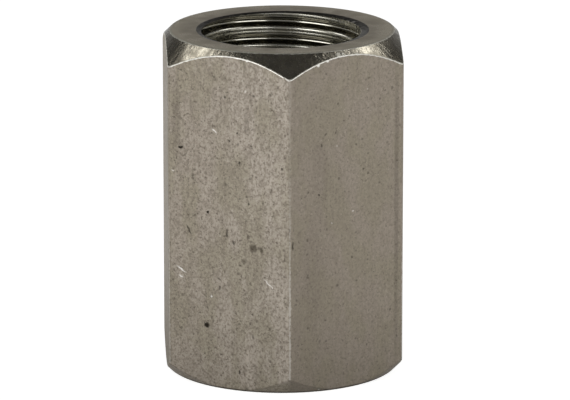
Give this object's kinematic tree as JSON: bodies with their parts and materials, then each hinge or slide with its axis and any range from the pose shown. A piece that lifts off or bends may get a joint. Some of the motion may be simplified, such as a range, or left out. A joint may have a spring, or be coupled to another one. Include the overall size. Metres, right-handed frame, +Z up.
{
  "type": "threaded socket",
  "caption": "Hexagon socket of steel, tapped right through with an internal thread, with turned ends, for joining threaded pipe or rod ends.",
  "frame": {"origin": "middle of the lower end face", "axes": "+Z up along the thread axis, two corners of the hexagon towards -Y and +Y, two flats towards -X and +X"},
  "size_m": [0.019, 0.0218, 0.028],
  "materials": {
    "socket_steel": "drawn hexagon bar with a dull warm grey skin, turned ends and a cut thread"
  },
  "bodies": {
    "root": {"threaded_socket": "socket_steel"}
  },
  "joints": []
}
